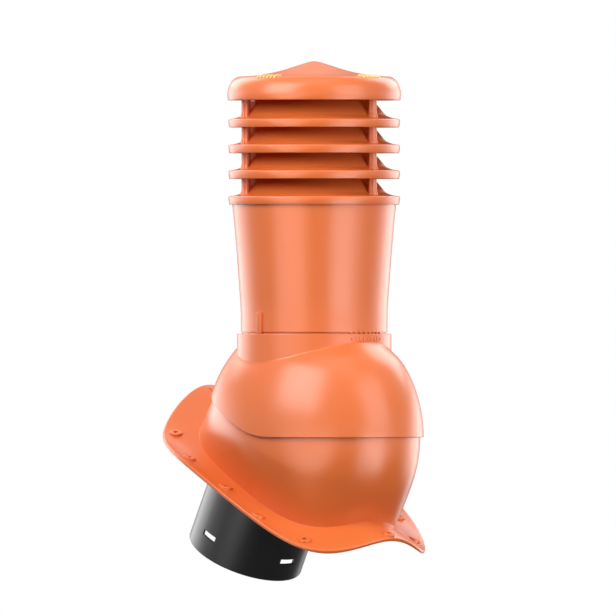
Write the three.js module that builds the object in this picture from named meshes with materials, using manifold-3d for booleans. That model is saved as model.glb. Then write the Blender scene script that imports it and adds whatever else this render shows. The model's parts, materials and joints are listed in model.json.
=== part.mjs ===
// Roof ventilation chimney for a profiled roof, with a cowl that tilts to keep the tube plumb.
// Millimetres, +Z up, +X across the slope and -Y down the slope.
// The origin is where the axis of the duct spigot crosses the mean plane of the roof.
import * as THREE from "three";
import { mergeVertices } from "three/addons/utils/BufferGeometryUtils.js";
import Module from "manifold-3d";

const wasm = await Module();
wasm.setup();

const WALL = 3;
const TOUCH_GAP = 0.3;

// Roof and flange. Places are measured from the centre of the domes.
const ROOF_PITCH = THREE.MathUtils.degToRad(28.2);
const WAVE_PITCH = 228; // crest to crest of the roof's profile
const WAVE_RISE = 18.6; // crest above the mean plane
const EDGE_DROOP = 3.5; // the wave is uneven: its right edge hangs this much lower, the left higher
const SEAT_DEPTH = 58; // mean plane of the flange below the centre
const FLANGE_HALF_WIDTH = 147;
const FLANGE_WIDEST = 53; // up-slope place of the widest line
const FLANGE_FRONT = 251; // from the widest line down the slope
const FLANGE_BACK = 163;
const FLANGE_FRONT_POWER = 2.6; // fullness of the outline: 2 is an ellipse
const FLANGE_BACK_POWER = 1.8;
const LIP_DROP = 5;

// Fixing bosses: [across, up the slope], the first five on both sides
const BOSS_PAIRS = [[93, -141], [119, -73], [116, 4], [119, 82], [95, 146]];
const BOSSES_ON_CREST = [[0, -188], [0, 203]];
const BOSS_RADIUS = 8.5;
const BOSS_RISE = 2;
const BOSS_HOLE_RADIUS = 2.8;

// Domes: ellipsoids of revolution about the level axis across the slope
const COWL_REACH = 122.4; // half width across the slope
const COWL_RADIUS = 161.8;
const COWL_WALL = 2.5;
const DOME_REACH = 117.8;
const DOME_RADIUS = 157.2;

// Foot of the lower dome, where it runs down to the flange
const FOOT_HALF_WIDTH = 93;
const FOOT_FRONT = 148;
const FOOT_BACK = 163;
const FOOT_POWER = 2.7;
const FOOT_DEPTH = 75;
const FOOT_EASE = 1.4; // power by which the dome's face leans in towards the foot
const FOOT_FILLET = 7;

// Mouth of the lower dome: a flat cut that leans down the slope from level
const MOUTH_LEAN = THREE.MathUtils.degToRad(20);
const MOUTH_HEIGHT = 78.8;

// Floor of the lower dome, and the spigot that stands through it
const FLOOR_TOP = -37;
const SPIGOT_PLACE = 50; // up-slope place of the spigot's axis
const SPIGOT_RADIUS = 75.5;
const SPIGOT_END = -197;
const SPIGOT_COLLAR = 84;
const SPIGOT_CLEARANCE = 0.7;
const SLOT_COUNT = 4;
const SLOT_LENGTH = 23.5;
const SLOT_WIDTH = 7.2;
const SLOT_ABOVE_END = 28;
const SLOT_TURN = THREE.MathUtils.degToRad(3);

// Lower edge of the cowl: level at the front, then a bend, then a straight rise up the slope
const EDGE_BEND_START = -48;
const EDGE_BEND_RADIUS = 130;
const EDGE_LEAN = THREE.MathUtils.degToRad(22.3);
const COLLAR_RADIUS = 99;
const COLLAR_TOP = 132.4;
const COLLAR_WALL = 4.3;
const COLLAR_FILLET = 9;

// The front of the cowl is flattened above a latitude, more so the higher and further forward
const FLATTENING = 0.045;
const FLAT_START = THREE.MathUtils.degToRad(32);
const FLAT_END = THREE.MathUtils.degToRad(50);
const FLAT_REACH = 60;

// Tube
const TUBE_FOOT = 119;
const TUBE_FOOT_RADIUS = 94;
const TAPER_START = 163;
const FLARE_START = 252;
const FLARE_RADIUS = 100.5;
const TUBE_MOUTH_RADIUS = 105.6;
const KEY_COUNT = 2;
const KEY_TURN = THREE.MathUtils.degToRad(182.2);
const KEY_WIDTH = 9;
const KEY_TOP = 160;
const KEY_OUT = 2.6;

// Louvre rings
const RING_COUNT = 4;
const FIRST_RING = 298;
const RING_PITCH = 33;
const RING_RADIUS = 110;
const RING_BAND = 7; // upright edge
const RING_SHOULDER = 11.5; // top of the rounded edge
const RING_SHOULDER_RADIUS = 102.5;
const FIN_FOOT = 15;
const FIN_FOOT_RADIUS = 92;
const FIN_TOP = 34.5;
const FIN_TOP_RADIUS = 76;
const POST_COUNT = 3;
const POST_TURN = THREE.MathUtils.degToRad(41.6);
const POST_CIRCLE = 94;
const POST_RADIUS = 6;
const POST_REACH = 8.5; // past the foot of the ring above, up to its sloping top
const WEB_WIDTH = 3;

// Rain cap
const CAP_FOOT = 431.8;
const CAP_RADIUS = 111.5;
const CAP_BAND = 6;
const CAP_SHOULDER_RADIUS = 95;
const CAP_SHOULDER = 30.3;
const CAP_LEDGE_RADIUS = 75;
const CAP_LEDGE = 31.4;
const CONE_FOOT_RADIUS = 46;
const CONE_FOOT = 36.6;
const CAP_HEIGHT = 50.2;

const FULL_TURN = 2 * Math.PI;

const TERRACOTTA = new THREE.MeshStandardMaterial({ color: 0xe0703f, roughness: 0.4, metalness: 0 });
const BLACK = new THREE.MeshStandardMaterial({ color: 0x1c1c1d, roughness: 0.4, metalness: 0 });

// The value between low and high where a rising function crosses nought.
function crossing(f, low, high) {
  for (let i = 0; i < 40; i++) {
    const middle = (low + high) / 2;
    if (f(middle) > 0) high = middle;
    else low = middle;
  }
  return (low + high) / 2;
}

// A point at an angle and a distance round the upright axis, at a height.
function around(turn, r, z) {
  return new THREE.Vector3(r * Math.cos(turn), r * Math.sin(turn), z);
}

// A closed skin: section(turn) gives one closed section, going up its outer face and down the inner.
function sweptSkin(section, turns) {
  const rows = [...Array(turns)].map((_, i) => section((FULL_TURN * i) / turns));
  const count = rows[0].length;
  const index = [];
  for (let i = 0; i < turns; i++) {
    const here = i * count;
    const beside = ((i + 1) % turns) * count;
    for (let j = 0; j < count; j++) {
      const next = (j + 1) % count;
      index.push(here + j, beside + next, here + next, here + j, beside + j, beside + next);
    }
  }
  return new THREE.BufferGeometry().setFromPoints(rows.flat()).setIndex(index);
}

// A body of revolution about the upright axis, from a closed path of radius and height.
function revolved(path, turns) {
  return new THREE.LatheGeometry(path.getPoints(2), turns).rotateX(Math.PI / 2);
}

function toSolid(geometry) {
  const bare = geometry.clone();
  bare.deleteAttribute("normal");
  bare.deleteAttribute("uv");
  const merged = mergeVertices(bare, 1e-3);
  return new wasm.Manifold(
    new wasm.Mesh({
      numProp: 3,
      vertProperties: merged.attributes.position.array,
      triVerts: new Uint32Array(merged.index.array),
    }),
  );
}

function toGeometry(solid) {
  const mesh = solid.getMesh();
  const geometry = new THREE.BufferGeometry();
  geometry.setAttribute("position", new THREE.BufferAttribute(new Float32Array(mesh.vertProperties), 3));
  geometry.setIndex(new THREE.BufferAttribute(new Uint32Array(mesh.triVerts), 1));
  return geometry;
}

function joined(geometries) {
  return toGeometry(geometries.map(toSolid).reduce((body, next) => body.add(next)));
}

function cutBy(geometry, tools) {
  return toGeometry(tools.map(toSolid).reduce((body, tool) => body.subtract(tool), toSolid(geometry)));
}

// Distance from the middle of an oval to its line, at an angle.
function ovalReach(turn, reach, radius) {
  return 1 / Math.hypot(Math.cos(turn) / reach, Math.sin(turn) / radius);
}

// Height of the cowl's lower edge at a place up the slope.
function edgeHeight(y) {
  const bendEnd = EDGE_BEND_START + EDGE_BEND_RADIUS * Math.sin(EDGE_LEAN);
  if (y < EDGE_BEND_START) return 0;
  if (y < bendEnd) return EDGE_BEND_RADIUS - Math.sqrt(EDGE_BEND_RADIUS ** 2 - (y - EDGE_BEND_START) ** 2);
  return EDGE_BEND_RADIUS * (1 - Math.cos(EDGE_LEAN)) + (y - bendEnd) * Math.tan(EDGE_LEAN);
}

// One face of the cowl at an angle round the tube, from the collar's top down to the lower edge.
function cowlFace(turn, inset, collarRadius, steps) {
  const radius = COWL_RADIUS - inset;
  const reach = ovalReach(turn, COWL_REACH - inset, radius);
  const at = (latitude) => {
    const r = reach * Math.cos(latitude);
    const high = THREE.MathUtils.smoothstep(latitude, FLAT_START, FLAT_END);
    const forward = THREE.MathUtils.smoothstep(-r * Math.sin(turn), 0, FLAT_REACH);
    return around(turn, r, radius * Math.sin(latitude) * (1 - FLATTENING * high * forward));
  };
  const neck = Math.acos(collarRadius / reach);
  const edge = crossing((latitude) => at(latitude).z - edgeHeight(at(latitude).y), -0.2, 1);
  const below = neck - COLLAR_FILLET / radius;
  const above = Math.min(COLLAR_FILLET, 0.7 * (COLLAR_TOP - at(neck).z));
  const fillet = new THREE.QuadraticBezierCurve3(
    around(turn, collarRadius, at(neck).z + above),
    at(neck),
    at(below),
  );
  const dome = [...Array(steps)].map((_, i) => at(below + ((edge - below) * (i + 1)) / steps));
  return [around(turn, collarRadius, COLLAR_TOP), ...fillet.getPoints(2), ...dome];
}

function cowl() {
  return sweptSkin((turn) => {
    const outer = cowlFace(turn, 0, COLLAR_RADIUS, 5);
    const inner = cowlFace(turn, COWL_WALL, COLLAR_RADIUS - COLLAR_WALL, 5);
    return [...outer.reverse(), ...inner];
  }, 36);
}

// Height of the flange's top face at a place across the slope.
function flangeHeight(x) {
  const droop = EDGE_DROOP * (x / FLANGE_HALF_WIDTH) ** 3;
  return WAVE_RISE * Math.cos((FULL_TURN * x) / WAVE_PITCH) - droop - SEAT_DEPTH;
}

// Distance from the centre to the flange's rim, at an angle.
function rimReach(turn) {
  const outside = (r) => {
    const { x, y } = around(turn, r, 0);
    const front = y < FLANGE_WIDEST;
    const power = front ? FLANGE_FRONT_POWER : FLANGE_BACK_POWER;
    const length = front ? FLANGE_FRONT : FLANGE_BACK;
    return Math.abs(x / FLANGE_HALF_WIDTH) ** power + Math.abs((y - FLANGE_WIDEST) / length) ** power - 1;
  };
  return crossing(outside, FLANGE_HALF_WIDTH / 2, 2 * FLANGE_FRONT);
}

// Distance from the upright axis to the lower dome's face. Above the centre it is the ellipsoid,
// and below it the face eases into the fuller outline of the foot.
function domeReach(turn, height, inset) {
  const radius = DOME_RADIUS - inset;
  const reach = DOME_REACH - inset;
  if (height > 0) return ovalReach(turn, reach, radius) * Math.sqrt(1 - (height / radius) ** 2);
  const blend = Math.min(-height / FOOT_DEPTH, 1) ** FOOT_EASE;
  const side = THREE.MathUtils.lerp(reach, FOOT_HALF_WIDTH - inset, blend);
  const footEnd = Math.sin(turn) < 0 ? FOOT_FRONT : FOOT_BACK;
  const end = THREE.MathUtils.lerp(radius, footEnd - inset, blend);
  const power = THREE.MathUtils.lerp(2, FOOT_POWER, blend);
  const across = Math.abs(Math.cos(turn) / side) ** power;
  const along = Math.abs(Math.sin(turn) / end) ** power;
  return (across + along) ** (-1 / power);
}

// One face of the lower dome at an angle, from its mouth to just above the flange, and its foot.
function domeFace(turn, inset) {
  const at = (height) => around(turn, domeReach(turn, height, inset), height);
  const lean = ROOF_PITCH - MOUTH_LEAN;
  const mouth = crossing(
    (height) => height * Math.cos(lean) + at(height).y * Math.sin(lean) - MOUTH_HEIGHT,
    0,
    0.9 * DOME_RADIUS,
  );
  const foot = crossing((height) => height + inset - flangeHeight(at(height).x), -2 * SEAT_DEPTH, 0);
  const upper = [1, 0.75, 0.5, 0.25, 0].map((share) => at(mouth * share));
  const lower = [0.5, 1].map((share) => at((foot + FOOT_FILLET) * share));
  return { points: [...upper, ...lower], foot: at(foot) };
}

// The flange's face at an angle, between two distances from the upright axis.
function flangeFace(turn, from, to, drop, steps) {
  return [...Array(steps + 1)].map((_, i) => {
    const r = THREE.MathUtils.lerp(from, to, i / steps);
    return around(turn, r, flangeHeight(r * Math.cos(turn)) - drop);
  });
}

// The lower dome and the flange, as one skin.
function flashingSkin() {
  return sweptSkin((turn) => {
    const rim = rimReach(turn);
    const outer = domeFace(turn, 0);
    const inner = domeFace(turn, WALL);
    const outerFoot = Math.hypot(outer.foot.x, outer.foot.y);
    const innerFoot = Math.hypot(inner.foot.x, inner.foot.y);
    const top = flangeFace(turn, outerFoot + FOOT_FILLET, rim, 0, 3);
    const fillet = new THREE.QuadraticBezierCurve3(outer.points.at(-1), outer.foot, top[0]).getPoint(0.5);
    const lip = flangeFace(turn, rim, rim - WALL, LIP_DROP, 1);
    const under = flangeFace(turn, rim - WALL, innerFoot, WALL, 2);
    const up = [...under, ...inner.points.reverse()].reverse();
    const down = [...outer.points, fillet, ...top, ...lip].reverse();
    return [...up, ...down];
  }, 40);
}

// The floor is let into the dome's wall and has a round hole for the spigot.
function floorPlate() {
  const sides = 40;
  const outline = [...Array(sides)].map((_, i) => {
    const turn = (FULL_TURN * i) / sides;
    const { x, y } = around(turn, domeReach(turn, FLOOR_TOP, WALL / 2), 0);
    return new THREE.Vector2(x, y);
  });
  const holeRadius = SPIGOT_RADIUS + SPIGOT_CLEARANCE;
  const hole = new THREE.Path().absarc(0, SPIGOT_PLACE, holeRadius, 0, FULL_TURN, true);
  const plate = new THREE.Shape(outline);
  plate.holes.push(hole);
  return new THREE.ExtrudeGeometry(plate, { depth: WALL, bevelEnabled: false, curveSegments: 20 })
    .translate(0, 0, FLOOR_TOP - WALL);
}

// A short cylinder that stands square on the flange, from below its face to above it.
function studOnFlange([x, y], radius, below, above, sides) {
  const slope = (flangeHeight(x + 1) - flangeHeight(x - 1)) / 2;
  return new THREE.CylinderGeometry(radius, radius, above + below, sides)
    .rotateX(Math.PI / 2)
    .translate(0, 0, (above - below) / 2)
    .rotateY(-Math.atan(slope))
    .translate(x, y, flangeHeight(x));
}

function baseFlashing() {
  const places = [...BOSS_PAIRS, ...BOSS_PAIRS.map(([x, y]) => [-x, y]), ...BOSSES_ON_CREST];
  const bosses = places.map((place) => studOnFlange(place, BOSS_RADIUS, WALL / 2, BOSS_RISE, 8));
  const holes = places.map((place) => studOnFlange(place, BOSS_HOLE_RADIUS, 3 * WALL, 3 * WALL, 6));
  return cutBy(joined([flashingSkin(), floorPlate(), ...bosses]), holes);
}

function spigot() {
  const bore = SPIGOT_RADIUS - WALL;
  const seat = FLOOR_TOP + TOUCH_GAP;
  const profile = new THREE.Path()
    .moveTo(bore, SPIGOT_END)
    .lineTo(SPIGOT_RADIUS, SPIGOT_END)
    .lineTo(SPIGOT_RADIUS, seat)
    .lineTo(SPIGOT_COLLAR, seat)
    .lineTo(SPIGOT_COLLAR, seat + WALL)
    .lineTo(bore, seat + WALL)
    .lineTo(bore, SPIGOT_END);
  const slots = [...Array(SLOT_COUNT)].map((_, i) =>
    new THREE.BoxGeometry(4 * WALL, SLOT_LENGTH, SLOT_WIDTH)
      .translate(SPIGOT_RADIUS, 0, SPIGOT_END + SLOT_ABOVE_END)
      .rotateZ(SLOT_TURN + (FULL_TURN * i) / SLOT_COUNT),
  );
  return cutBy(revolved(profile, 32), slots).translate(0, SPIGOT_PLACE, 0);
}

function tube() {
  const bore = TUBE_FOOT_RADIUS - WALL;
  const mouth = FIRST_RING + RING_BAND;
  const profile = new THREE.Path()
    .moveTo(bore, TUBE_FOOT)
    .lineTo(TUBE_FOOT_RADIUS, TUBE_FOOT)
    .lineTo(TUBE_FOOT_RADIUS, TAPER_START)
    .lineTo(FLARE_RADIUS, FLARE_START)
    .lineTo(TUBE_MOUTH_RADIUS, mouth)
    .lineTo(TUBE_MOUTH_RADIUS - WALL, mouth)
    .lineTo(FLARE_RADIUS - WALL, FLARE_START)
    .lineTo(bore, TAPER_START)
    .lineTo(bore, TUBE_FOOT);
  const keyFoot = COLLAR_TOP + TOUCH_GAP;
  const keys = [...Array(KEY_COUNT)].map((_, i) =>
    new THREE.BoxGeometry(WALL / 2 + KEY_OUT, KEY_WIDTH, KEY_TOP - keyFoot)
      .translate(TUBE_FOOT_RADIUS + KEY_OUT / 2 - WALL / 4, 0, (KEY_TOP + keyFoot) / 2)
      .rotateZ(KEY_TURN + (FULL_TURN * i) / KEY_COUNT),
  );
  return joined([revolved(profile, 32), ...keys]);
}

// One louvre ring, moulded with its inner fin, posts and webs. Heights are from its own foot.
function louvreRing() {
  const lean = Math.atan2(FIN_TOP - FIN_FOOT, FIN_FOOT_RADIUS - FIN_TOP_RADIUS);
  const inward = WALL * Math.sin(lean);
  const down = WALL * Math.cos(lean);
  const profile = new THREE.Path()
    .moveTo(RING_RADIUS - WALL, 0)
    .lineTo(RING_RADIUS, 0)
    .lineTo(RING_RADIUS, RING_BAND)
    .quadraticCurveTo(RING_RADIUS, RING_SHOULDER, RING_SHOULDER_RADIUS, RING_SHOULDER)
    .lineTo(FIN_FOOT_RADIUS, FIN_FOOT)
    .lineTo(FIN_TOP_RADIUS, FIN_TOP)
    .lineTo(FIN_TOP_RADIUS - inward, FIN_TOP - down)
    .lineTo(FIN_FOOT_RADIUS - inward, FIN_FOOT - WALL)
    .lineTo(RING_RADIUS - WALL, RING_BAND)
    .lineTo(RING_RADIUS - WALL, 0);
  const postFoot = FIN_FOOT - WALL;
  const postTop = RING_PITCH + POST_REACH;
  const post = new THREE.CylinderGeometry(POST_RADIUS, POST_RADIUS, postTop - postFoot, 8)
    .rotateX(Math.PI / 2)
    .translate(POST_CIRCLE, 0, (postTop + postFoot) / 2);
  const webOutline = new THREE.Shape()
    .moveTo(FIN_FOOT_RADIUS - inward / 2, FIN_FOOT - down / 2)
    .lineTo(POST_CIRCLE, FIN_FOOT - down / 2)
    .lineTo(POST_CIRCLE, FIN_TOP - down / 2)
    .lineTo(FIN_TOP_RADIUS - inward / 2, FIN_TOP - down / 2);
  const web = new THREE.ExtrudeGeometry(webOutline, { depth: WEB_WIDTH, bevelEnabled: false })
    .translate(0, 0, -WEB_WIDTH / 2)
    .rotateX(Math.PI / 2);
  const supports = [...Array(POST_COUNT)].flatMap((_, i) => {
    const turn = POST_TURN + (FULL_TURN * i) / POST_COUNT;
    return [post.clone().rotateZ(turn), web.clone().rotateZ(turn)];
  });
  return joined([revolved(profile, 28), ...supports]);
}

// One face of the cap, from its foot to the tip.
function capFace(inset) {
  const shoulder = CAP_RADIUS - CAP_SHOULDER_RADIUS - inset;
  const rise = CAP_SHOULDER - CAP_BAND - inset;
  return new THREE.Path()
    .moveTo(CAP_RADIUS - inset, 0)
    .lineTo(CAP_RADIUS - inset, CAP_BAND)
    .absellipse(CAP_SHOULDER_RADIUS, CAP_BAND, shoulder, rise, 0, Math.PI / 2)
    .lineTo(CAP_LEDGE_RADIUS, CAP_LEDGE - inset)
    .lineTo(CONE_FOOT_RADIUS, CONE_FOOT - inset)
    .lineTo(0, CAP_HEIGHT - inset)
    .getPoints(2);
}

function rainCap() {
  const outer = capFace(0);
  const inner = capFace(WALL);
  return new THREE.LatheGeometry([...outer, ...inner.reverse(), outer[0]], 28).rotateX(Math.PI / 2);
}

function piece(name, geometry, material) {
  const mesh = new THREE.Mesh(geometry, material);
  mesh.name = name;
  return mesh;
}

// Everything is placed from the centre of the domes: what lies in the roof's plane leans with it,
// and the rest stands plumb.
const chimney = new THREE.Group();
chimney.position
  .set(0, -SPIGOT_PLACE, SEAT_DEPTH)
  .applyAxisAngle(new THREE.Vector3(1, 0, 0), ROOF_PITCH);

const inRoofPlane = new THREE.Group();
inRoofPlane.rotation.x = ROOF_PITCH;
inRoofPlane.add(piece("base_flashing", baseFlashing(), TERRACOTTA));
inRoofPlane.add(piece("spigot", spigot(), BLACK));
chimney.add(inRoofPlane);

chimney.add(piece("cowl", cowl(), TERRACOTTA));
chimney.add(piece("tube", tube(), TERRACOTTA));
for (let i = 0; i < RING_COUNT; i++) {
  const ring = piece("louvre_ring_" + (RING_COUNT - i), louvreRing(), TERRACOTTA);
  ring.position.z = FIRST_RING + i * RING_PITCH;
  chimney.add(ring);
}
const cap = piece("rain_cap", rainCap(), TERRACOTTA);
cap.position.z = CAP_FOOT;
chimney.add(cap);

export default chimney;
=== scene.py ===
"""Roof ventilation chimney: a waved base flashing with a duct spigot, and a cowl that tilts on it.

Sizes are in millimetres and are measured from the centre of the two domes, which is where the cowl
turns. The roof's own frame leans with the roof: X across it, Y up it and Z square to it.
"""
import json
import math

import bmesh
import bpy
import numpy as np
from mathutils import Matrix, Vector


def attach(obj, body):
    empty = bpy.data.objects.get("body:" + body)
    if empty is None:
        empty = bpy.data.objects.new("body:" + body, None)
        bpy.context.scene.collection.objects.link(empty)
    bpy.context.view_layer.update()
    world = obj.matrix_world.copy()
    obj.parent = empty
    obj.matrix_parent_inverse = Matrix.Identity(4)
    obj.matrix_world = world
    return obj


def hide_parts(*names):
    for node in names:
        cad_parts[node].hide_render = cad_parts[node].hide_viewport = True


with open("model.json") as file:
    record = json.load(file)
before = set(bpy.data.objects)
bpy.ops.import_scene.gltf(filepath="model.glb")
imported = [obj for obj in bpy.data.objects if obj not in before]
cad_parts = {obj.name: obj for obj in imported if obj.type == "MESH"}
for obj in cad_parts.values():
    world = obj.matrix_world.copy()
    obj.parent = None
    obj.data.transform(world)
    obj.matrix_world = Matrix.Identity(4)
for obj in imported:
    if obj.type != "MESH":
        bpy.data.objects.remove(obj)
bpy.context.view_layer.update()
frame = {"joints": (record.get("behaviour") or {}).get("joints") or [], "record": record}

# Base flashing
# One moulding: the lower dome and the waved flange round its foot, with a rolled lip. It is satin
# terracotta plastic, coloured through, and is screwed to the roof through pads in its flange.

MILLIMETRE = 0.001
TILT = frame["joints"][0]
SEAT = frame["record"]["mounts"][0]
ROOF_PITCH = math.atan2(SEAT["axis"][1], -SEAT["axis"][2])
PLUMB = Matrix.Translation(TILT["pos_m"]) @ Matrix.Scale(MILLIMETRE, 4)
ON_ROOF = PLUMB @ Matrix.Rotation(ROOF_PITCH, 4, "X")

WALL = 3.0
WAVE_PITCH = 228
WAVE_RISE = 18.6
SEAT_DEPTH = 58
EDGE_DROOP = 3.5
FLANGE_HALF_WIDTH = 147
FLANGE_WIDEST = 53
FLANGE_FRONT, FLANGE_FRONT_POWER = 251, 2.6
FLANGE_BACK, FLANGE_BACK_POWER = 163, 1.8
LIP_DROP, LIP_ROUND = 5, 2.6
DOME_REACH, DOME_RADIUS = 117.8, 157.2
FOOT_HALF_WIDTH, FOOT_FRONT, FOOT_BACK = 93, 148, 163
FOOT_POWER, FOOT_DEPTH, FOOT_EASE, FOOT_FILLET = 2.7, 75, 1.4, 0.7
MOUTH_LEAN, MOUTH_HEIGHT = math.radians(20), 78.8
FLASHING_TURNS = 400
SHARP_FROM = math.radians(38)


def all_round(count):
    """Angles of a full turn."""
    return np.arange(count) * (2 * math.pi / count)


def around(turn, r, z):
    """Points at angles, distances and heights round the upright axis."""
    return np.stack(np.broadcast_arrays(r * np.cos(turn), r * np.sin(turn), z), -1).astype(float)


def crossing(rising, low, high):
    """Where a rising function of an array crosses nought, between two values."""
    for _ in range(40):
        middle = (low + high) / 2
        above = rising(middle) > 0
        low, high = np.where(above, low, middle), np.where(above, middle, high)
    return (low + high) / 2


def rounded(corners, steps=5):
    """A closed section, from (place, radius) corners, each of them rounded off by its radius."""
    places = [place for place, _ in corners]
    points = []
    for i, (place, radius) in enumerate(corners):
        if not radius:
            points.append(place)
            continue
        back = places[i - 1] - place
        onward = places[(i + 1) % len(places)] - place
        back_length = np.linalg.norm(back, axis=-1, keepdims=True)
        onward_length = np.linalg.norm(onward, axis=-1, keepdims=True)
        cut = np.minimum(radius, 0.45 * np.minimum(back_length, onward_length))
        start = place + back / back_length * cut
        end = place + onward / onward_length * cut
        for t in np.linspace(0, 1, steps + 1):
            points.append((1 - t) ** 2 * start + 2 * t * (1 - t) * place + t**2 * end)
    return np.stack(points)


def swept(section, matrix):
    """A closed skin in metres, from an array of section points by angles, set in place by a matrix."""
    count, turns, _ = section.shape
    here = np.arange(count * turns).reshape(count, turns)
    beside = np.roll(here, -1, axis=1)
    faces = np.stack([here, beside, np.roll(beside, -1, axis=0), np.roll(here, -1, axis=0)], -1)
    mesh = bpy.data.meshes.new("skin")
    mesh.from_pydata(section.reshape(-1, 3).tolist(), [], faces.reshape(-1, 4).tolist())
    mesh.transform(matrix)
    return mesh


def turned(profile, turns, matrix, steps=5):
    """A body of revolution, from (radius, height, rounding) corners."""
    turn = all_round(turns)
    corners = [(around(turn, r, z), rounding) for r, z, rounding in profile]
    return swept(rounded(corners, steps), matrix)


def block(size, place, matrix, edge=0.0):
    """A box with softened edges."""
    shape = bmesh.new()
    bmesh.ops.create_cube(shape, size=1, matrix=Matrix.Translation(place) @ Matrix.Diagonal((*size, 1)))
    if edge:
        bmesh.ops.bevel(shape, geom=shape.edges[:], offset=edge, segments=3, profile=0.5, affect="EDGES")
    return finished(shape, matrix)


def finished(shape, matrix):
    """A mesh in metres from a bmesh in millimetres."""
    mesh = bpy.data.meshes.new("shape")
    shape.to_mesh(mesh)
    shape.free()
    mesh.transform(matrix)
    return mesh


def gathered(meshes):
    """Several meshes as one."""
    shape = bmesh.new()
    for mesh in meshes:
        shape.from_mesh(mesh)
    return finished(shape, Matrix.Identity(4))


def combined(mesh, operation, tools):
    """A mesh joined with, or cut by, the tools."""
    body = bpy.data.objects.new("body", mesh)
    tool = bpy.data.objects.new("tool", gathered(tools))
    for helper in (body, tool):
        bpy.context.scene.collection.objects.link(helper)
    step = body.modifiers.new("step", "BOOLEAN")
    step.operation = operation
    step.solver = "EXACT"
    step.object = tool
    bpy.context.view_layer.update()
    depsgraph = bpy.context.evaluated_depsgraph_get()
    result = bpy.data.meshes.new_from_object(body.evaluated_get(depsgraph))
    for helper in (body, tool):
        bpy.data.objects.remove(helper)
    return result


def piece(name, mesh, body, slot, material, *nodes):
    """A finished piece that rides on a body and stands for CAD nodes."""
    shape = bmesh.new()
    shape.from_mesh(mesh)
    bmesh.ops.remove_doubles(shape, verts=shape.verts, dist=1e-6)
    bmesh.ops.recalc_face_normals(shape, faces=shape.faces)
    mesh = finished(shape, Matrix.Identity(4))
    mesh.shade_smooth()
    mesh.set_sharp_from_angle(angle=SHARP_FROM)
    mesh.materials.clear()
    mesh.materials.append(material)
    made = bpy.data.objects.new(name, mesh)
    bpy.context.scene.collection.objects.link(made)
    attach(made, body)
    if nodes:
        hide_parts(*nodes)
    return made


class Socket:
    """A socket of a material's nodes. Sums and products with it add Math nodes."""

    def __init__(self, tree, socket=None):
        self.tree = tree
        self.socket = socket

    def node(self, kind, settings=None, inputs=None, output=0):
        """A new node, with its settings made first and then its sockets filled or linked."""
        made = self.tree.nodes.new("ShaderNode" + kind)
        for name, value in (settings or {}).items():
            if name == "stops":
                for stop, (place, colour) in zip(made.color_ramp.elements, value):
                    stop.position, stop.color = place, colour
            else:
                setattr(made, name, value)
        for name, value in (inputs or {}).items():
            if isinstance(value, Socket):
                self.tree.links.new(value.socket, made.inputs[name])
            else:
                made.inputs[name].default_value = value
        return Socket(self.tree, made.outputs[output]) if made.outputs else made

    def maths(self, operation, *values):
        return self.node("Math", {"operation": operation}, dict(enumerate(values)))

    def __add__(self, other):
        return self.maths("ADD", self, other)

    def __sub__(self, other):
        return self.maths("SUBTRACT", self, other)

    def __rsub__(self, other):
        return self.maths("SUBTRACT", other, self)

    def __mul__(self, other):
        return self.maths("MULTIPLY", self, other)

    __radd__ = __add__
    __rmul__ = __mul__


def moulded_plastic(name, light, dark, roughness, speck):
    """Moulded plastic: uneven pigment, fine specks, and the faint pebble of a mould's face."""
    material = bpy.data.materials.new(name)
    material.use_nodes = True
    tree = material.node_tree
    tree.nodes.clear()
    start = Socket(tree)
    place = start.node("TexCoord", output="Object")
    drift = start.node(
        "TexNoise", None, {"Vector": place, "Scale": 5, "Detail": 3, "Roughness": 0.6}, "Fac"
    )
    fleck = start.node("TexNoise", None, {"Vector": place, "Scale": 900, "Detail": 2}, "Fac")
    pebble = start.node("TexNoise", None, {"Vector": place, "Scale": 420, "Detail": 3}, "Fac")
    pigment = drift * (1 - speck) + fleck * speck
    colour = start.node(
        "Mix", {"data_type": "RGBA"}, {"Factor": pigment, "A": (*dark, 1), "B": (*light, 1)}, "Result"
    )
    bump = start.node("Bump", None, {"Strength": 0.12, "Distance": 0.0002, "Height": pebble})
    inputs = {
        "Base Color": colour,
        "Roughness": drift * 0.1 + (roughness - 0.05),
        "Normal": bump,
        "IOR": 1.5,
    }
    surface = start.node("BsdfPrincipled", None, inputs)
    start.node("OutputMaterial", None, {"Surface": surface})
    return material


TERRACOTTA = moulded_plastic("terracotta_plastic", (0.66, 0.146, 0.034), (0.60, 0.123, 0.026), 0.3, 0.3)


def flange_height(x):
    """Height of the flange's top face across the slope: a wave whose right edge hangs lower."""
    droop = EDGE_DROOP * (x / FLANGE_HALF_WIDTH) ** 3
    return WAVE_RISE * np.cos(x * (2 * math.pi / WAVE_PITCH)) - droop - SEAT_DEPTH


def rim_reach(turn):
    """Distance from the centre to the flange's rim."""

    def outside(r):
        y = r * np.sin(turn) - FLANGE_WIDEST
        power = np.where(y < 0, FLANGE_FRONT_POWER, FLANGE_BACK_POWER)
        length = np.where(y < 0, FLANGE_FRONT, FLANGE_BACK)
        return abs(r * np.cos(turn) / FLANGE_HALF_WIDTH) ** power + abs(y / length) ** power - 1

    nearest, farthest = FLANGE_HALF_WIDTH / 2, 2 * FLANGE_FRONT
    return crossing(outside, np.full_like(turn, nearest), np.full_like(turn, farthest))


def oval_reach(turn, reach, radius):
    """Distance from the middle of an oval to its line."""
    return 1 / np.hypot(np.cos(turn) / reach, np.sin(turn) / radius)


def eased(share):
    """A share from 0 to 1, with a soft start and end."""
    share = np.clip(share, 0, 1)
    return share * share * (3 - 2 * share)


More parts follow.
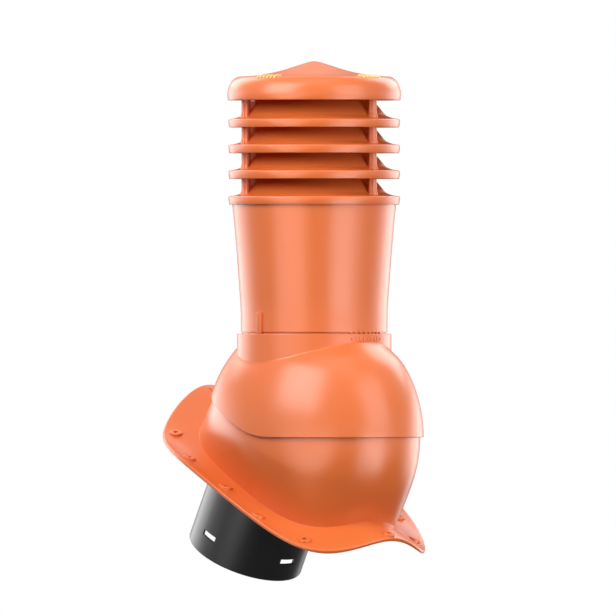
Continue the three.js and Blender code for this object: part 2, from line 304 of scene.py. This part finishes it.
def dome_reach(turn, height, inset):
    """Distance from the upright axis to the lower dome, which eases into its foot below the centre."""
    radius, reach = DOME_RADIUS - inset, DOME_REACH - inset
    upper = oval_reach(turn, reach, radius) * np.sqrt(1 - np.clip(height / radius, 0, 1) ** 2)
    blend = np.clip(-height / FOOT_DEPTH, 0, 1) ** FOOT_EASE
    side = reach + (FOOT_HALF_WIDTH - inset - reach) * blend
    end = radius + (np.where(np.sin(turn) < 0, FOOT_FRONT, FOOT_BACK) - inset - radius) * blend
    power = 2 + (FOOT_POWER - 2) * blend
    lower = (abs(np.cos(turn) / side) ** power + abs(np.sin(turn) / end) ** power) ** (-1 / power)
    return np.where(height > 0, upper, lower)


def dome_face(turn, inset, steps):
    """The lower dome's face from its mouth to near the flange, and its foot's distance out."""
    lean = ROOF_PITCH - MOUTH_LEAN

    def above_mouth(height):
        y = dome_reach(turn, height, inset) * np.sin(turn)
        return height * math.cos(lean) + y * math.sin(lean) - MOUTH_HEIGHT

    def above_flange(height):
        return height + inset - flange_height(dome_reach(turn, height, inset) * np.cos(turn))

    mouth = crossing(above_mouth, np.zeros_like(turn), np.full_like(turn, 0.9 * DOME_RADIUS))
    foot = crossing(above_flange, np.full_like(turn, -2.0 * SEAT_DEPTH), np.zeros_like(turn))
    shares = np.linspace(1, 0, steps)
    heights = [mouth * share for share in shares]
    heights += [(foot + FOOT_FILLET) * share for share in shares[-2::-1]]
    points = [around(turn, dome_reach(turn, height, inset), height) for height in heights]
    return points, dome_reach(turn, foot, inset)


def flange_face(turn, start, end, drop, steps):
    """The flange's face between two distances from the upright axis."""
    reaches = [start + (end - start) * share for share in np.linspace(0, 1, steps)]
    return [around(turn, r, flange_height(r * np.cos(turn)) - drop) for r in reaches]


def flashing_skin():
    turn = all_round(FLASHING_TURNS)
    rim = rim_reach(turn)
    outer, outer_foot = dome_face(turn, 0, 26)
    inner, inner_foot = dome_face(turn, WALL, 16)
    top = flange_face(turn, outer_foot + FOOT_FILLET, rim - 2.4 * LIP_ROUND, 0, 24)
    under = flange_face(turn, inner_foot + WALL, rim - 2 * WALL, WALL, 12)
    foot = around(turn, outer_foot, flange_height(outer_foot * np.cos(turn)))
    lip = [
        (flange_face(turn, rim, rim, 0, 1)[0], LIP_ROUND),
        (flange_face(turn, rim, rim, LIP_DROP, 1)[0], 0.9),
        (flange_face(turn, rim - WALL, rim - WALL, LIP_DROP, 1)[0], 0.9),
        (flange_face(turn, rim - WALL, rim - WALL, WALL, 1)[0], 0.9),
    ]
    corners = [(outer[0], 1.2)]
    corners += [(point, 0) for point in outer[1:]]
    corners += [(foot, FOOT_FILLET)]
    corners += [(point, 0) for point in top]
    corners += lip
    corners += [(point, 0) for point in under[::-1]]
    corners += [(point, 0) for point in inner[:0:-1]]
    corners += [(inner[0], 1.2)]
    return swept(rounded(corners), ON_ROOF)


# The pads for the screws stand nearly plumb, so their lower side stands proud of the flange.
PAD_PAIRS = [(93, -141), (119, -73), (116, 4), (119, 82), (95, 146)]
PADS_ON_CREST = [(0, -188), (0, 203)]
PAD_RADIUS, PAD_RISE, PAD_LEAN = 8.5, 2.0, math.radians(9)
SCREW_HOLE = 2.8
PAD_PLACES = PAD_PAIRS + [(-x, y) for x, y in PAD_PAIRS] + PADS_ON_CREST


def square_to_flange(x, y, lean):
    """The place and slant of something that stands on the flange."""
    slope = float(flange_height(x + 1) - flange_height(x - 1)) / 2
    place = Matrix.Translation((x, y, float(flange_height(x))))
    return ON_ROOF @ place @ Matrix.Rotation(-math.atan(slope), 4, "Y") @ Matrix.Rotation(-lean, 4, "X")


def pad(x, y):
    profile = [
        (SCREW_HOLE / 2, -WALL / 2, 0),
        (PAD_RADIUS, -WALL / 2, 0),
        (PAD_RADIUS, PAD_RISE, 0.7),
        (SCREW_HOLE / 2, PAD_RISE, 0),
    ]
    return turned(profile, 48, square_to_flange(x, y, PAD_LEAN), 4)


def screw_hole(x, y):
    reach = 2 * WALL
    profile = [(0.02, -reach, 0), (SCREW_HOLE, -reach, 0), (SCREW_HOLE, reach, 0), (0.02, reach, 0)]
    return turned(profile, 20, square_to_flange(x, y, PAD_LEAN))


FLOOR_TOP = -37
SPIGOT_PLACE, SPIGOT_RADIUS, SPIGOT_CLEARANCE = 50, 75.5, 0.7
ON_SPIGOT = ON_ROOF @ Matrix.Translation((0, SPIGOT_PLACE, 0))


def floor_plate():
    """The plate inside the dome, let into its wall, with a round hole for the spigot."""
    turn = all_round(200)
    reach = dome_reach(turn, np.full_like(turn, FLOOR_TOP), WALL / 2)
    hole = around(turn, SPIGOT_RADIUS + SPIGOT_CLEARANCE, 0.0) + (0, SPIGOT_PLACE, 0)
    edge = around(turn, reach, 0.0)
    levels = [(edge, FLOOR_TOP), (edge, FLOOR_TOP - WALL), (hole, FLOOR_TOP - WALL), (hole, FLOOR_TOP)]
    return swept(np.stack([line + (0, 0, level) for line, level in levels]), ON_ROOF)


flashing = combined(flashing_skin(), "UNION", [floor_plate(), *(pad(x, y) for x, y in PAD_PLACES)])
flashing = combined(flashing, "DIFFERENCE", [screw_hole(x, y) for x, y in PAD_PLACES])
piece("flashing_moulding", flashing, "base", "terracotta_plastic", TERRACOTTA, "base_flashing")

# Duct spigot
# A black plastic sleeve for a 150 mm duct. It drops through the floor of the lower dome and hangs by
# its collar, and four short slots near its end take a hose clip.

BLACK = moulded_plastic("black_plastic", (0.010, 0.010, 0.0105), (0.006, 0.006, 0.0065), 0.34, 0.3)

SPIGOT_END, SPIGOT_COLLAR = -197, 84
SLOT_COUNT, SLOT_LENGTH, SLOT_WIDTH, SLOT_ABOVE_END = 4, 23.5, 7.2, 28
SLOT_TURN = math.radians(3)
SEAT_GAP = 0.3

bore = SPIGOT_RADIUS - WALL
seat = FLOOR_TOP + SEAT_GAP
spigot_profile = [
    (bore, SPIGOT_END, 0.8),
    (SPIGOT_RADIUS, SPIGOT_END, 1.2),
    (SPIGOT_RADIUS, seat, 0),
    (SPIGOT_COLLAR, seat, 0.8),
    (SPIGOT_COLLAR, seat + WALL, 0.8),
    (bore, seat + WALL, 1.2),
]
slots = [
    block(
        (6 * WALL, SLOT_LENGTH, SLOT_WIDTH),
        (SPIGOT_RADIUS, 0, SPIGOT_END + SLOT_ABOVE_END),
        ON_SPIGOT @ Matrix.Rotation(SLOT_TURN + turn, 4, "Z"),
        0.4,
    )
    for turn in all_round(SLOT_COUNT)
]
spigot = combined(turned(spigot_profile, 240, ON_SPIGOT), "DIFFERENCE", slots)
piece("spigot_sleeve", spigot, "base", "black_plastic", BLACK, "spigot")

# Cowl
# The upper dome, one terracotta moulding with a collar for the tube. It laps over the lower dome and
# slides round it, and its lower edge is level at the front and rises towards the back.

COWL_REACH, COWL_RADIUS, COWL_WALL = 122.4, 161.8, 2.5
EDGE_BEND_START, EDGE_BEND_RADIUS, EDGE_LEAN = -48, 130, math.radians(22.3)
COLLAR_RADIUS, COLLAR_TOP, COLLAR_WALL = 99, 132.4, 4.3
FILLET_ABOVE, FILLET_FRONT, FILLET_SIDE = 1.2, 1.4, 9
FLATTENING, FLAT_START, FLAT_END, FLAT_REACH = 0.045, math.radians(32), math.radians(50), 60


def edge_height(y):
    """Height of the cowl's lower edge at places along the slope."""
    bend_end = EDGE_BEND_START + EDGE_BEND_RADIUS * math.sin(EDGE_LEAN)
    along = np.clip(y - EDGE_BEND_START, 0, bend_end - EDGE_BEND_START)
    bend = EDGE_BEND_RADIUS - np.sqrt(EDGE_BEND_RADIUS**2 - along**2)
    return bend + np.maximum(y - bend_end, 0) * math.tan(EDGE_LEAN)


def cowl_face(turn, inset, collar_radius, steps):
    """The cowl's face from just under the collar's rim to just above the lower edge, and that edge."""
    radius = COWL_RADIUS - inset
    reach = oval_reach(turn, COWL_REACH - inset, radius)

    def at(latitude):
        r = reach * np.cos(latitude)
        height = eased((latitude - FLAT_START) / (FLAT_END - FLAT_START))
        front = eased(-r * np.sin(turn) / FLAT_REACH)
        return around(turn, r, radius * np.sin(latitude) * (1 - FLATTENING * height * front))

    def above_edge(latitude):
        point = at(latitude)
        return point[:, 2] - edge_height(point[:, 1])

    neck = np.arccos(collar_radius / reach)
    edge = crossing(above_edge, np.full_like(turn, -0.2), np.ones_like(turn))
    below = neck - (FILLET_FRONT + (FILLET_SIDE - FILLET_FRONT) * np.cos(turn) ** 2) / radius
    start, middle, end = at(neck) + (0, 0, FILLET_ABOVE), at(neck), at(below)
    fillet = [(1 - t) ** 2 * start + 2 * t * (1 - t) * middle + t**2 * end for t in np.linspace(0, 1, 9)]
    lip = edge + 2.4 / radius
    dome = [at(below + (lip - below) * share) for share in np.linspace(0, 1, steps)]
    return fillet[:-1] + dome, at(edge)


def cowl_skin():
    turn = all_round(320)
    outer, outer_edge = cowl_face(turn, 0, COLLAR_RADIUS, 48)
    inner, inner_edge = cowl_face(turn, COWL_WALL, COLLAR_RADIUS - COLLAR_WALL, 24)
    corners = [(around(turn, COLLAR_RADIUS, COLLAR_TOP), 1.2)]
    corners += [(point, 0) for point in outer]
    corners += [(outer_edge, 1.1), (inner_edge, 0.8)]
    corners += [(point, 0) for point in inner[::-1]]
    corners += [(around(turn, COLLAR_RADIUS - COLLAR_WALL, COLLAR_TOP), 0.8)]
    return swept(rounded(corners), PLUMB)


# A row of shallow strokes stands on the collar, to the right of the view down its middle.
COLLAR_STROKES, COLLAR_STROKE_START, COLLAR_STROKE_PITCH = 9, math.radians(-100.8), math.radians(3.6)
collar_strokes = [
    block(
        (1.6, 2.8, 5.4 if i % 4 else 3.2),
        (COLLAR_RADIUS, 0, 125.6),
        PLUMB @ Matrix.Rotation(COLLAR_STROKE_START + COLLAR_STROKE_PITCH * i, 4, "Z"),
        0.4,
    )
    for i in range(COLLAR_STROKES)
]
MOVING = "cowl_assembly"
cowl = combined(cowl_skin(), "UNION", collar_strokes)
piece("cowl_moulding", cowl, MOVING, "terracotta_plastic", TERRACOTTA, "cowl")

# Tube
# A terracotta pipe that stands in the cowl's collar and flares towards the louvres. Two keys on its
# outside rest on the collar's rim, and a row of short teeth shows in the joint between them.

TUBE_FOOT, TUBE_FOOT_RADIUS = 119, 94
NECK_TOP, NECK_RADIUS = 134.6, 92.4
TAPER_START, FLARE_START, FLARE_RADIUS, MOUTH_RADIUS = 163, 252, 100.5, 105.6
FIRST_RING, RING_BAND = 298, 7
KEY_COUNT, KEY_TURN, KEY_WIDTH, KEY_TOP, KEY_OUT = 2, math.radians(182.2), 9, 160, 2.6
TOOTH_COUNT, TOOTH_START, TOOTH_PITCH = 8, math.radians(-100), math.radians(4.8)

tube_bore = TUBE_FOOT_RADIUS - WALL
tube_mouth = FIRST_RING + RING_BAND
tube_profile = [
    (tube_bore, TUBE_FOOT, 0.8),
    (NECK_RADIUS, TUBE_FOOT, 0.6),
    (NECK_RADIUS, NECK_TOP, 0.3),
    (TUBE_FOOT_RADIUS, NECK_TOP, 0.5),
    (TUBE_FOOT_RADIUS, TAPER_START, 20),
    (FLARE_RADIUS, FLARE_START, 30),
    (MOUTH_RADIUS, tube_mouth, 0.8),
    (MOUTH_RADIUS - WALL, tube_mouth, 0.8),
    (FLARE_RADIUS - WALL, FLARE_START, 30),
    (tube_bore, TAPER_START, 20),
]
key_foot = COLLAR_TOP + SEAT_GAP
keys = [
    block(
        (WALL + KEY_OUT, KEY_WIDTH, KEY_TOP - key_foot),
        (TUBE_FOOT_RADIUS + (KEY_OUT - WALL) / 2 + 0.5, 0, (KEY_TOP + key_foot) / 2),
        PLUMB @ Matrix.Rotation(KEY_TURN + turn, 4, "Z"),
        0.6,
    )
    for turn in all_round(KEY_COUNT)
]
teeth = [
    block(
        (WALL, 3.6, NECK_TOP - COLLAR_TOP + 1),
        (TUBE_FOOT_RADIUS - WALL / 2, 0, (NECK_TOP + COLLAR_TOP + 1) / 2),
        PLUMB @ Matrix.Rotation(TOOTH_START + TOOTH_PITCH * i, 4, "Z"),
        0.4,
    )
    for i in range(TOOTH_COUNT)
]
tube = combined(turned(tube_profile, 240, PLUMB, 8), "UNION", keys + teeth)
piece("tube_pipe", tube, MOVING, "terracotta_plastic", TERRACOTTA, "tube")

# Louvre rings
# Four like mouldings that stack on the tube. Each has an outer band that throws the rain off, a
# steep fin inside it, and three fluted posts on webs that carry the next ring.

RING_COUNT, RING_PITCH, RING_RADIUS = 4, 33, 110
RING_SHOULDER, RING_SHOULDER_RADIUS = 11.5, 102.5
BAND_DRAFT, BAND_WIDEST = 1.1, 5.5
FIN_FOOT, FIN_FOOT_RADIUS, FIN_TOP, FIN_TOP_RADIUS = 15, 92, 34.5, 76
POST_COUNT, POST_TURN, POST_CIRCLE, POST_RADIUS = 3, math.radians(41.6), 94, 6
POST_REACH, FLUTES, FLUTE_DEPTH, WEB_WIDTH = 8.5, 6, 0.7, 3
AXIS_GAP = 0.05


def post(matrix):
    """A fluted round post, with a small flare at its foot."""
    turn = all_round(96)
    flute = POST_RADIUS - FLUTE_DEPTH * (0.5 + 0.5 * np.cos(FLUTES * turn)) ** 3
    foot, top = FIN_FOOT - WALL, RING_PITCH + POST_REACH
    levels = [
        (foot, 1.3),
        (foot + 1, 1.3),
        (FIN_FOOT, 1.0),
        (FIN_FOOT + 2, 0.3),
        (FIN_FOOT + 4, 0),
        (top, 0),
    ]
    rows = [around(turn, flute + flare, height) for height, flare in levels]
    closed = [around(turn, AXIS_GAP, foot), *rows, around(turn, AXIS_GAP, top)]
    return swept(np.stack(closed), matrix @ Matrix.Translation((POST_CIRCLE, 0, 0)))


def web(matrix):
    """The thin plate between a post and the fin."""
    outline = [
        (FIN_FOOT_RADIUS - 2, FIN_FOOT - 1.5),
        (POST_CIRCLE, FIN_FOOT - 1.5),
        (POST_CIRCLE, FIN_TOP - 1),
        (FIN_TOP_RADIUS - 1, FIN_TOP - 1),
    ]
    shape = bmesh.new()
    face = shape.faces.new([shape.verts.new((r, -WEB_WIDTH / 2, z)) for r, z in outline])
    grown = bmesh.ops.extrude_face_region(shape, geom=[face])
    moved = [part for part in grown["geom"] if isinstance(part, bmesh.types.BMVert)]
    bmesh.ops.translate(shape, vec=(0, WEB_WIDTH, 0), verts=moved)
    bmesh.ops.recalc_face_normals(shape, faces=shape.faces)
    return finished(shape, matrix)


def louvre(matrix):
    lean = math.atan2(FIN_TOP - FIN_FOOT, FIN_FOOT_RADIUS - FIN_TOP_RADIUS)
    inward, down = WALL * math.sin(lean), WALL * math.cos(lean)
    profile = [
        (RING_RADIUS - WALL, 0, 0.7),
        (RING_RADIUS - BAND_DRAFT, 0, 0.5),
        (RING_RADIUS, BAND_WIDEST, 2),
        (RING_RADIUS, RING_SHOULDER - 1, 4),
        (RING_SHOULDER_RADIUS - 2, RING_SHOULDER + 0.3, 3),
        (FIN_FOOT_RADIUS, FIN_FOOT, 3),
        (FIN_TOP_RADIUS, FIN_TOP, 0.9),
        (FIN_TOP_RADIUS - inward, FIN_TOP - down, 0.9),
        (FIN_FOOT_RADIUS - inward, FIN_FOOT - WALL, 3),
        (RING_RADIUS - WALL, RING_BAND, 2),
    ]
    turns = [POST_TURN + step for step in all_round(POST_COUNT)]
    supports = [part(matrix @ Matrix.Rotation(turn, 4, "Z")) for turn in turns for part in (post, web)]
    body = combined(turned(profile, 240, matrix), "UNION", supports[0::2])
    return combined(body, "UNION", supports[1::2])


for i in range(RING_COUNT):
    number = RING_COUNT - i
    lifted = PLUMB @ Matrix.Translation((0, 0, FIRST_RING + i * RING_PITCH))
    name = f"louvre_moulding_{number}"
    piece(name, louvre(lifted), MOVING, "terracotta_plastic", TERRACOTTA, f"louvre_ring_{number}")

# Rain cap
# A thin terracotta cap with a round shoulder and a low cone, closed at the top. Two rows of small
# raised strokes on its ledge are picked out in gold.

CAP_FOOT, CAP_RADIUS, CAP_BAND = 431.8, 111.5, 6
CAP_SHOULDER, CAP_SHOULDER_RADIUS = 30.3, 95
CAP_LEDGE, CAP_LEDGE_RADIUS = 31.4, 75
CONE_FOOT, CONE_FOOT_RADIUS, CAP_HEIGHT = 36.6, 46, 50.2
ON_CAP = PLUMB @ Matrix.Translation((0, 0, CAP_FOOT))


def cap_face(inset):
    """One face of the cap, from its foot in to the tip."""
    shoulder_width = CAP_RADIUS - CAP_SHOULDER_RADIUS - inset
    shoulder_rise = CAP_SHOULDER - CAP_BAND - inset
    face = [(CAP_RADIUS - BAND_DRAFT - inset, 0, 0.5)]
    for turn in np.linspace(0, math.pi / 2, 16):
        r = CAP_SHOULDER_RADIUS + shoulder_width * math.cos(turn)
        face.append((r, CAP_BAND + shoulder_rise * math.sin(turn), 0))
    face.append((CAP_LEDGE_RADIUS, CAP_LEDGE - inset, 8))
    face.append((CONE_FOOT_RADIUS, CONE_FOOT - inset, 16))
    face.append((6, CAP_HEIGHT - inset - 0.8, 5))
    face.append((0.02, CAP_HEIGHT - inset, 0))
    return face


cap = turned(cap_face(0) + cap_face(WALL)[::-1], 240, ON_CAP, 6)
piece("cap_moulding", cap, MOVING, "terracotta_plastic", TERRACOTTA, "rain_cap")

GOLD = moulded_plastic("gold_paint", (0.86, 0.56, 0.16), (0.72, 0.42, 0.09), 0.3, 0.5)
STROKES, STROKE_PITCH, STROKE_WIDTH, STROKE_DEPTH = 6, math.radians(3.1), 2.8, 3.2
STROKE_START, STROKE_SHORT_START, STROKE_END = 84, 90, 102.5
STROKE_ROWS = {"left": math.radians(-168.3), "right": math.radians(-83.4)}


def stroke(start, end, matrix):
    """A raised stroke that runs down the cap's ledge and over its shoulder."""
    face = sorted((r, z) for r, z, _ in cap_face(0))
    radii, heights = zip(*face)
    shape = bmesh.new()
    size = (end - start, STROKE_WIDTH, STROKE_DEPTH)
    place = Matrix.Translation(((start + end) / 2, 0, 0))
    bmesh.ops.create_cube(shape, size=1, matrix=place @ Matrix.Diagonal((*size, 1)))
    bmesh.ops.bevel(shape, geom=shape.edges[:], offset=0.6, segments=2, profile=0.5, affect="EDGES")
    along = [edge for edge in shape.edges if abs(edge.verts[0].co.x - edge.verts[1].co.x) > end - start - 2]
    bmesh.ops.subdivide_edges(shape, edges=along, cuts=14, use_grid_fill=True)
    for vert in shape.verts:
        vert.co.z += float(np.interp(vert.co.x, radii, heights))
    return finished(shape, matrix)


def stroke_row(middle):
    """A row of strokes, some of them shorter."""
    strokes = []
    for i in range(STROKES):
        turn = middle + (i - (STROKES - 1) / 2) * STROKE_PITCH
        start = STROKE_START if i % 3 else STROKE_SHORT_START
        strokes.append(stroke(start, STROKE_END, ON_CAP @ Matrix.Rotation(turn, 4, "Z")))
    return gathered(strokes)


for side, middle in STROKE_ROWS.items():
    piece(f"cap_strokes_{side}", stroke_row(middle), MOVING, "gold_paint", GOLD)

# Studio
# A very long lens level with the chimney, seen from down the slope and to its left, with soft boxes
# on both sides, white all round behind and a pale floor well below.

VIEW_TURN = math.radians(-40.3)
FRAME_WIDTH = 616 * 1.282
MIDDLE_ACROSS, MIDDLE_UP = -7.95, 165.4
CAMERA_AWAY = 30000
FLOOR_RADIUS, FLOOR_BELOW = 3000, 700

across = Vector((math.cos(VIEW_TURN), math.sin(VIEW_TURN), 0))
towards = Vector((math.sin(VIEW_TURN), -math.cos(VIEW_TURN), 0))
middle = across * MIDDLE_ACROSS + Vector((0, 0, MIDDLE_UP))
camera_data = bpy.data.cameras.new("camera")
camera_data.lens = camera_data.sensor_width * CAMERA_AWAY / FRAME_WIDTH
camera_data.clip_end = 100
camera = bpy.data.objects.new("camera", camera_data)
camera.location = PLUMB @ (middle + towards * CAMERA_AWAY)
camera.rotation_euler = towards.to_track_quat("Z", "Y").to_euler()
bpy.context.scene.collection.objects.link(camera)
bpy.context.scene.camera = camera


def soft_box(name, turn, height, away, size, power):
    """A rectangular light, placed by its angle from the camera, that faces the tube."""
    light = bpy.data.lights.new(name, "AREA")
    light.shape = "RECTANGLE"
    light.size, light.size_y = (side * MILLIMETRE for side in size)
    light.energy = power
    lamp = bpy.data.objects.new(name, light)
    direction = Matrix.Rotation(math.radians(turn), 3, "Z") @ towards
    aim = Vector((0, 0, 200))
    place = direction * away + Vector((0, 0, height))
    lamp.location = PLUMB @ place
    lamp.rotation_euler = (place - aim).to_track_quat("Z", "Y").to_euler()
    bpy.context.scene.collection.objects.link(lamp)


soft_box("left_box", -48, 1350, 1700, (1400, 1500), 46)
soft_box("right_box", 48, 1000, 1800, (1300, 1500), 19)
soft_box("top_box", 0, 2400, 900, (1600, 1600), 9)
soft_box("low_box", 40, -350, 1500, (1000, 900), 11)
soft_box("left_back_box", -140, 1500, 1800, (1300, 1500), 22)
soft_box("right_back_box", 140, 1500, 1800, (1300, 1500), 22)

# Gloss sees more than the rest does: haze down to well below level, a bright wall behind, which
# gives the white rims, with a dark slit straight behind that draws the outline, and pale cards on
# both sides, brighter below level and dim above it, for the upright highlights. Straight rays see
# plain white.
EASED = {"interpolation_type": "SMOOTHSTEP"}
BELOW, ABOVE, DARK_GLOSS, HAZE, WALL_LIGHT = 0.05, 0.4, 0.05, 1.25, 2.7
LEFT_CARD_LIGHT, RIGHT_CARD_LIGHT, FAR_CARD_LIGHT = 3.3, 1.8, 1.0
WALL_TURN, LEFT_CARD_TURN = math.radians(-175), math.radians(-36)
RIGHT_CARD_TURN, FAR_CARD_TURN = math.radians(52), math.radians(120)
world = bpy.data.worlds.new("studio")
world.use_nodes = True
bpy.context.scene.world = world
world.node_tree.nodes.clear()
room = Socket(world.node_tree)
direction = room.node("TexCoord", None, output="Generated")
height = room.node("VectorMath", {"operation": "DOT_PRODUCT"}, {0: direction, 1: (0, 0, 1)}, "Value")
off_level = room.maths("ABSOLUTE", height)


def rising(value, low, high):
    """A soft step from 0 to 1 between two values."""
    return room.node("MapRange", EASED, {"Value": value, "From Min": low, "From Max": high})


def lit_patch(turn, edge, full, low, high):
    """A bright patch of the room, by its angle from the camera and how far it reaches off level."""
    way = Matrix.Rotation(turn, 3, "Z") @ towards
    along = room.node("VectorMath", {"operation": "DOT_PRODUCT"}, {0: direction, 1: way}, "Value")
    return rising(along, edge, full) * (1 - rising(off_level, low, high))


wall = lit_patch(WALL_TURN, 0.2, 0.65, 0.06, 0.32)
dark_slit = lit_patch(math.pi, 0.88, 0.97, 0.3, 0.5)
left_card = lit_patch(LEFT_CARD_TURN, 0.86, 0.94, 0.35, 0.75)
right_card = lit_patch(RIGHT_CARD_TURN, 0.87, 0.95, 0.35, 0.75)
far_card = lit_patch(FAR_CARD_TURN, 0.92, 0.98, 0.35, 0.75)
by_height = (2.2 - 1.2 * rising(height, -0.45, -0.1)) * (1 - 0.85 * rising(height, 0, 0.15))
right_cards = right_card * RIGHT_CARD_LIGHT + far_card * FAR_CARD_LIGHT
cards = (left_card * LEFT_CARD_LIGHT + right_cards) * by_height
thinner_above = 1 - 0.6 * rising(height, 0.05, 0.4)
haze = rising(height, -0.42, -0.05) * thinner_above * (HAZE - DARK_GLOSS) + DARK_GLOSS
ceiling = rising(height, -0.1, 0.6) * (ABOVE - BELOW) + BELOW
glossy = room.node("LightPath", None, output="Is Glossy Ray")
straight = room.node("LightPath", None, output="Is Camera Ray")
gloss = (wall * WALL_LIGHT + haze) * (1 - dark_slit) + cards
lit = ceiling + glossy * gloss
shown = lit * (1 - straight) + straight
background = room.node("Background", None, {"Color": (1, 1, 1, 1), "Strength": shown})
room.node("OutputWorld", None, {"Surface": background})

floor_shape = bmesh.new()
bmesh.ops.create_circle(floor_shape, cap_ends=True, segments=96, radius=FLOOR_RADIUS)
floor_mesh = finished(floor_shape, PLUMB @ Matrix.Translation((0, 0, -FLOOR_BELOW)))
floor = bpy.data.objects.new("floor", floor_mesh)
bpy.context.scene.collection.objects.link(floor)
pale = bpy.data.materials.new("pale_floor")
pale.use_nodes = True
paint = pale.node_tree.nodes["Principled BSDF"].inputs
paint["Base Color"].default_value = (0.85, 0.85, 0.85, 1)
paint["Roughness"].default_value = 0.7
floor_mesh.materials.append(pale)
floor.visible_diffuse = floor.visible_glossy = False
bpy.context.scene.view_settings.view_transform = "Standard"
